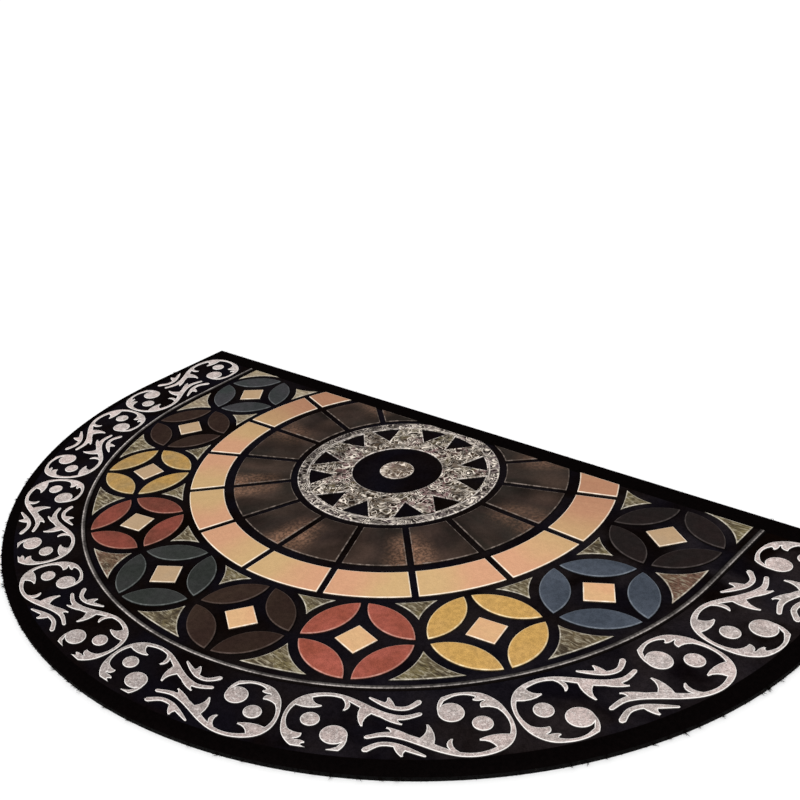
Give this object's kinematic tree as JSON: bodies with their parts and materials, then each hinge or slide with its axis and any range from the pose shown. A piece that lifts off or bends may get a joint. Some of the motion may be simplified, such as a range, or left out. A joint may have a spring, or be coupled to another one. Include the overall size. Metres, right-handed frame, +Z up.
{
  "type": "doormat",
  "caption": "Half-round pile doormat with a straight back edge, a bevelled rim and a low raised pattern of rings, rosettes and leafy scrolls, laid flat.",
  "frame": {"origin": "middle of the mat's bounding box, on the floor under it", "axes": "+X along the straight edge to the right, +Y from the round front edge towards the straight edge, +Z up out of the patterned face"},
  "size_m": [0.75, 0.45, 0.0078],
  "materials": {
    "mat_pile": "matt short pile on a moulded base, black ground with peach, yellow, red, blue, brown and grey forms"
  },
  "bodies": {
    "root": {"mat": "mat_pile"}
  },
  "joints": []
}
